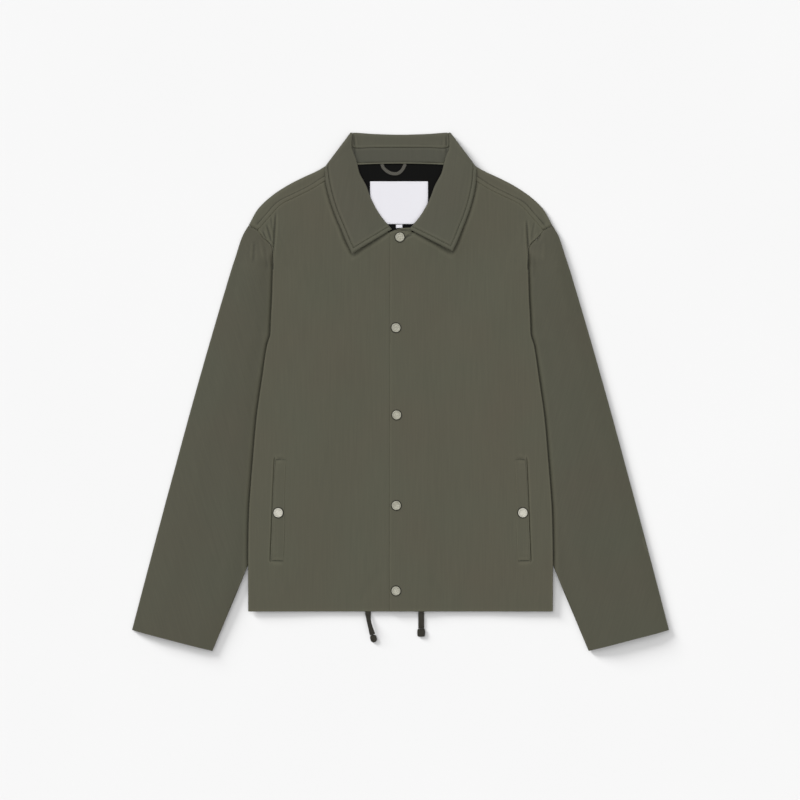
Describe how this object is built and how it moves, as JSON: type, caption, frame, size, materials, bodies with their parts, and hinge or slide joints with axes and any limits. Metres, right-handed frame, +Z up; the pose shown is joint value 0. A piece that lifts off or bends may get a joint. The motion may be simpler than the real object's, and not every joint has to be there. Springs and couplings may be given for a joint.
{
  "type": "coach jacket laid flat",
  "caption": "Snap-front coach jacket laid flat, with a pointed collar, set-in sleeves, slanted welt pockets, a neck hanger loop and free hem cord ends.",
  "frame": {"origin": "on the surface that the jacket lies on, under the middle of its outline", "axes": "+X to the wearer's left, +Y from hem to collar, +Z up, away from the surface"},
  "size_m": [0.8312, 0.8023, 0.0137],
  "materials": {
    "body_shell": "smooth nylon twill, matt with a slight sheen",
    "sleeve_shell": "smooth nylon twill, matt with a slight sheen",
    "collar_shell": "smooth nylon twill, interlined, topstitched",
    "black_lining": "smooth lining",
    "white_label": "woven satin label",
    "loop_tape": "woven tape",
    "snap_paint": "satin enamel",
    "cord_weave": "flat braided cord"
  },
  "bodies": {
    "root": {"back_panel": "body_shell", "front_left": "body_shell", "front_right": "body_shell", "sleeve_left": "sleeve_shell", "sleeve_right": "sleeve_shell", "collar_fall": "collar_shell", "collar_stand": "collar_shell", "back_lining": "black_lining", "neck_label": "white_label", "size_tab": "white_label", "hanger_loop": "loop_tape", "pocket_welt_left": "body_shell", "pocket_welt_right": "body_shell", "pocket_snap_left": "snap_paint", "pocket_snap_right": "snap_paint", "front_snap_1": "snap_paint", "front_snap_2": "snap_paint", "front_snap_3": "snap_paint", "front_snap_4": "snap_paint", "front_snap_5": "snap_paint", "drawcord_end_left": "cord_weave", "drawcord_end_right": "cord_weave", "drawcord_tip_left": "cord_weave", "drawcord_tip_right": "cord_weave"}
  },
  "joints": []
}
